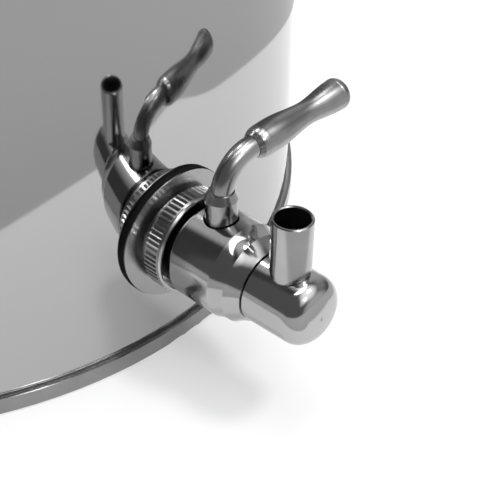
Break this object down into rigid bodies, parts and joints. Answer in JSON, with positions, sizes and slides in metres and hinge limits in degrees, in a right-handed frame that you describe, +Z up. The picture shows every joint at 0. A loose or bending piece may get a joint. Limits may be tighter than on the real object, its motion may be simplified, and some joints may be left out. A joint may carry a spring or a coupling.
{
  "type": "brew kettle",
  "caption": "Tall stainless brew kettle with a sandwich base, bar handles, a lift-off lid and a ball-valve tap with a knurled lock nut, a bent lever and a swivelling spout.",
  "frame": {"origin": "centre of the base's underside, on the kettle's axis, where it rests on the floor", "axes": "+Z up along the kettle's axis; the tap points along -Y; the side handles lie on +X and -X"},
  "size_m": [0.385, 0.37, 0.3495],
  "materials": {
    "mirror_steel": "mirror polished stainless steel",
    "satin_steel": "satin stainless steel, wiped but not mirror bright",
    "bright_steel": "bright drawn stainless steel",
    "turned_steel": "satin turned stainless steel",
    "knurled_steel": "straight knurled stainless steel",
    "core_aluminium": "as rolled",
    "black_rubber": "matt moulded rubber",
    "white_ptfe": "machined"
  },
  "bodies": {
    "kettle": {"kettle_body": "mirror_steel", "tap_body": "mirror_steel", "handle_pads_left": "mirror_steel", "handle_pads_right": "mirror_steel", "base_capsule": "satin_steel", "tap_flange": "satin_steel", "handle_bar_left": "bright_steel", "handle_bar_right": "bright_steel", "handle_rivets": "bright_steel", "back_washer": "bright_steel", "back_nut": "bright_steel", "shank": "bright_steel", "spout_retainer": "bright_steel", "ring_nut": "knurled_steel", "base_core": "core_aluminium", "tap_gasket_outer": "black_rubber", "tap_gasket_inner": "black_rubber", "stem_seal": "black_rubber", "seat_rear": "white_ptfe", "seat_front": "white_ptfe", "stem_thrust_washer": "white_ptfe"},
    "lid": {"lid": "mirror_steel", "lid_handle": "mirror_steel", "lid_rivets": "bright_steel"},
    "lever": {"valve_ball": "bright_steel", "valve_stem": "bright_steel", "stem_o_ring": "black_rubber", "lever_collar": "satin_steel", "lever_rod": "satin_steel", "lever_grip": "turned_steel"},
    "spout": {"spout_nose": "mirror_steel", "spout_tube": "satin_steel", "spout_o_rings": "black_rubber"}
  },
  "joints": [
    {"name": "lid_lift", "type": "slide", "parent": "kettle", "child": "lid", "axis": [0, 0, 1], "range_m": [0, 0.12]},
    {"name": "lever_turn", "type": "hinge", "parent": "kettle", "child": "lever", "pos_m": [0, -0.1708, 0.046], "axis": [0, 0, -1], "range_deg": [0, 88]},
    {"name": "spout_swivel", "type": "hinge", "parent": "kettle", "child": "spout", "pos_m": [0, -0.1995, 0.046], "axis": [0, -1, 0], "continuous": true}
  ]
}
